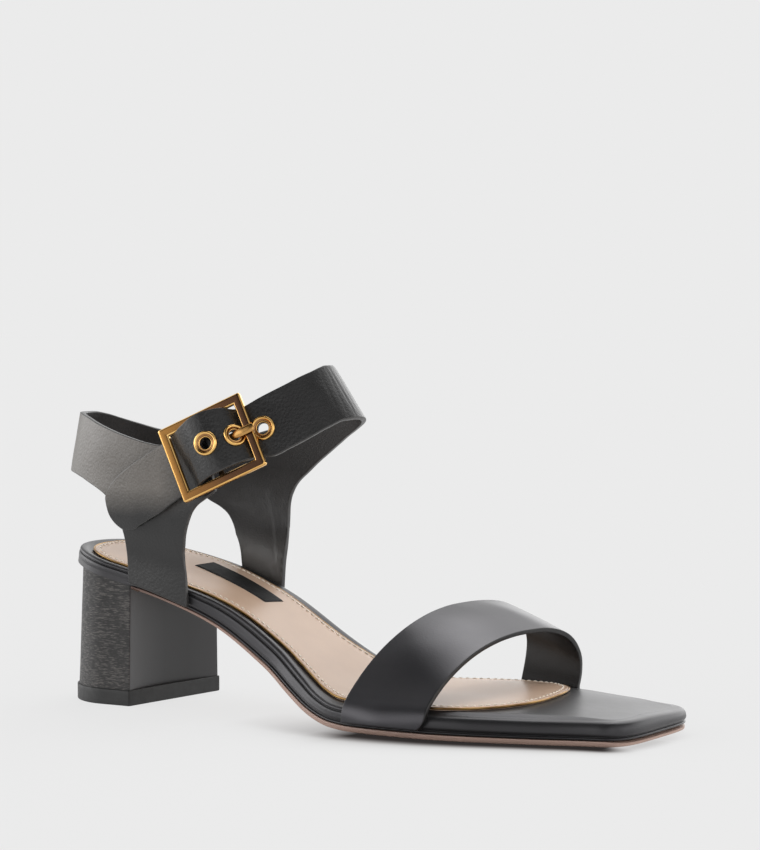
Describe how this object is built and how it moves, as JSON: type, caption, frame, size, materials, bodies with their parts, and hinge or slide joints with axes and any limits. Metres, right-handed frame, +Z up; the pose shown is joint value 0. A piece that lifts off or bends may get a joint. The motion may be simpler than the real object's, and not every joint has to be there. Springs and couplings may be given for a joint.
{
  "type": "heeled ankle-strap sandal",
  "caption": "Open block-heel sandal for the right foot: square-toed sole, wide toe strap, and a buckled ankle upper that crosses the instep.",
  "frame": {"origin": "middle of the shoe's footprint box, on the floor", "axes": "+X from the heel to the toe, +Y from the outer side to the inner side of the foot, +Z up"},
  "size_m": [0.2526, 0.0902, 0.1299],
  "materials": {
    "upper_leather": "satin",
    "footbed_leather": "satin",
    "sock_leather": "satin",
    "outsole_leather": "matte",
    "heel_wrap": "satin",
    "lift_rubber": "matte",
    "buckle_metal": "satin",
    "eyelet_metal": "satin"
  },
  "bodies": {
    "root": {"outsole": "outsole_leather", "footbed": "footbed_leather", "insole_sock": "sock_leather", "heel_block": "heel_wrap", "heel_lift": "lift_rubber", "toe_strap": "upper_leather", "ankle_upper": "upper_leather", "buckle_tab": "upper_leather", "buckle_frame": "buckle_metal", "buckle_prong": "buckle_metal", "eyelet_1": "eyelet_metal", "eyelet_2": "eyelet_metal", "eyelet_3": "eyelet_metal"}
  },
  "joints": []
}
